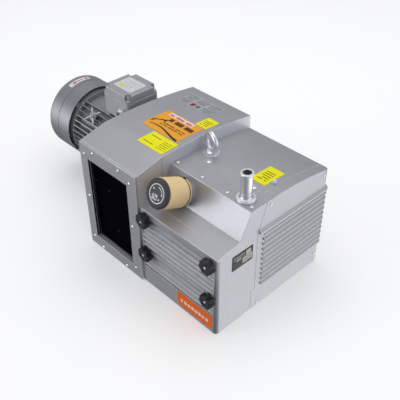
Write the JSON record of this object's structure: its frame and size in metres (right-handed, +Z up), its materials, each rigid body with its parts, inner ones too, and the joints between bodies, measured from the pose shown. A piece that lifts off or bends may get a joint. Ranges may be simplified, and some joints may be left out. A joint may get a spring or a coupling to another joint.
{
  "type": "rotary vane vacuum pump",
  "caption": "Dry rotary vane vacuum pump: flanged motor, coupling hood, ribbed filter cover with star knobs, vacuum regulator, louvred end cover.",
  "frame": {"origin": "centre of the four foot holes, on the plane that the pump stands on", "axes": "+X along the shaft from the motor to the pump, -Y towards the filter cover and its knobs, +Z up"},
  "size_m": [0.856, 0.4129, 0.393],
  "materials": {
    "casing_paint": "satin silver-grey paint over a fine casting grain",
    "motor_paint": "satin grey paint over die casting",
    "zinc_steel": "bright zinc plating",
    "bare_steel": "ground steel",
    "cast_iron": "machined grey iron",
    "laminated_core": "stacked sheet steel",
    "copper_winding": "varnished copper wire",
    "black_plastic": "matt moulded plastic",
    "black_rubber": "matt rubber",
    "filter_mat": "black open-cell foam",
    "filter_sleeve": "resin-treated filter paper",
    "filter_paper": "pleated filter paper",
    "carbon_vane": "pressed carbon graphite",
    "spider_rubber": "cast polyurethane",
    "valve_brass": "turned brass",
    "terminal_bakelite": "moulded phenolic",
    "orange_plate": "printed film with a white border",
    "black_plate": "printed foil plate",
    "label_film": "printed film"
  },
  "bodies": {
    "root": {"base_plate": "casing_paint", "coupling_hood": "casing_paint", "outlet_frame": "casing_paint", "outlet_mat": "filter_mat", "frame_screws": "zinc_steel", "pump_casing": "casing_paint", "end_cover": "casing_paint", "end_cover_screws": "zinc_steel", "top_screws": "zinc_steel", "top_plugs": "zinc_steel", "lifting_eye": "zinc_steel", "suction_nozzle": "zinc_steel", "suction_pipe": "casing_paint", "filter_housing": "casing_paint", "inlet_filter": "filter_paper", "exhaust_filter": "filter_paper", "transfer_ducts": "casing_paint", "regulator_body": "zinc_steel", "regulator_sleeve": "filter_sleeve", "regulator_clamp": "black_rubber", "regulator_spring": "zinc_steel", "cylinder": "cast_iron", "side_plate_drive": "cast_iron", "side_plate_end": "cast_iron", "end_cap": "cast_iron", "tie_bolts": "zinc_steel", "pump_bearings": "bare_steel", "shaft_seal": "black_rubber", "lantern": "cast_iron", "motor_shield": "motor_paint", "motor_frame": "motor_paint", "motor_stator": "laminated_core", "motor_windings": "copper_winding", "motor_end_shield": "motor_paint", "motor_bearings": "bare_steel", "fan_cowl": "motor_paint", "terminal_box": "motor_paint", "terminal_lid": "motor_paint", "terminal_block": "terminal_bakelite", "rating_plate": "black_plate", "labels": "label_film"},
    "pump_rotor": {"pump_rotor": "bare_steel", "vanes": "carbon_vane", "coupling_hub_pump": "bare_steel", "cooling_fan": "black_plastic"},
    "motor_rotor": {"motor_shaft": "bare_steel", "motor_core": "laminated_core", "motor_fan": "black_plastic", "coupling_hub_motor": "bare_steel", "coupling_spider": "spider_rubber"},
    "filter_cover": {"filter_cover": "casing_paint", "cover_gasket": "black_rubber", "name_plate": "orange_plate"},
    "knob_1": {"knob_1": "black_plastic"},
    "knob_2": {"knob_2": "black_plastic"},
    "knob_3": {"knob_3": "black_plastic"},
    "knob_4": {"knob_4": "black_plastic"},
    "regulator_wheel": {"regulator_wheel": "black_rubber"},
    "regulator_poppet": {"regulator_poppet": "valve_brass"},
    "check_valve_disc": {"check_valve_disc": "black_rubber"}
  },
  "joints": [
    {"name": "motor_spin", "type": "hinge", "parent": "root", "child": "motor_rotor", "pos_m": [-0.35, 0.041, 0.177], "axis": [1, 0, 0], "continuous": true},
    {"name": "rotor_spin", "type": "hinge", "parent": "root", "child": "pump_rotor", "pos_m": [0.102, 0.041, 0.177], "axis": [1, 0, 0], "continuous": true},
    {"name": "cover_pull", "type": "slide", "parent": "root", "child": "filter_cover", "axis": [0, -1, 0], "range_m": [0, 0.12]},
    {"name": "knob_1_turn", "type": "hinge", "parent": "filter_cover", "child": "knob_1", "pos_m": [0.022, -0.2, 0.11], "axis": [0, -1, 0], "range_deg": [0, 1800]},
    {"name": "knob_2_turn", "type": "hinge", "parent": "filter_cover", "child": "knob_2", "pos_m": [0.022, -0.2, 0.218], "axis": [0, -1, 0], "range_deg": [0, 1800]},
    {"name": "knob_3_turn", "type": "hinge", "parent": "filter_cover", "child": "knob_3", "pos_m": [0.242, -0.2, 0.11], "axis": [0, -1, 0], "range_deg": [0, 1800]},
    {"name": "knob_4_turn", "type": "hinge", "parent": "filter_cover", "child": "knob_4", "pos_m": [0.242, -0.2, 0.218], "axis": [0, -1, 0], "range_deg": [0, 1800]},
    {"name": "regulator_turn", "type": "hinge", "parent": "root", "child": "regulator_wheel", "pos_m": [0.068, -0.18885, 0.31773], "axis": [0, -0.9076, 0.4199], "range_deg": [0, 1080]},
    {"name": "poppet_lift", "type": "slide", "parent": "root", "child": "regulator_poppet", "axis": [0, -0.9076, 0.4199], "range_m": [0, 0.004], "stiffness_N_per_m": 400, "springref_m": -0.004, "deforming": ["regulator_spring"]},
    {"name": "check_valve_lift", "type": "slide", "parent": "root", "child": "check_valve_disc", "axis": [0, 0, 1], "range_m": [0, 0.006]}
  ],
  "couplings": [
    {"joint": "rotor_spin", "follows": "motor_spin", "ratio": 1}
  ]
}
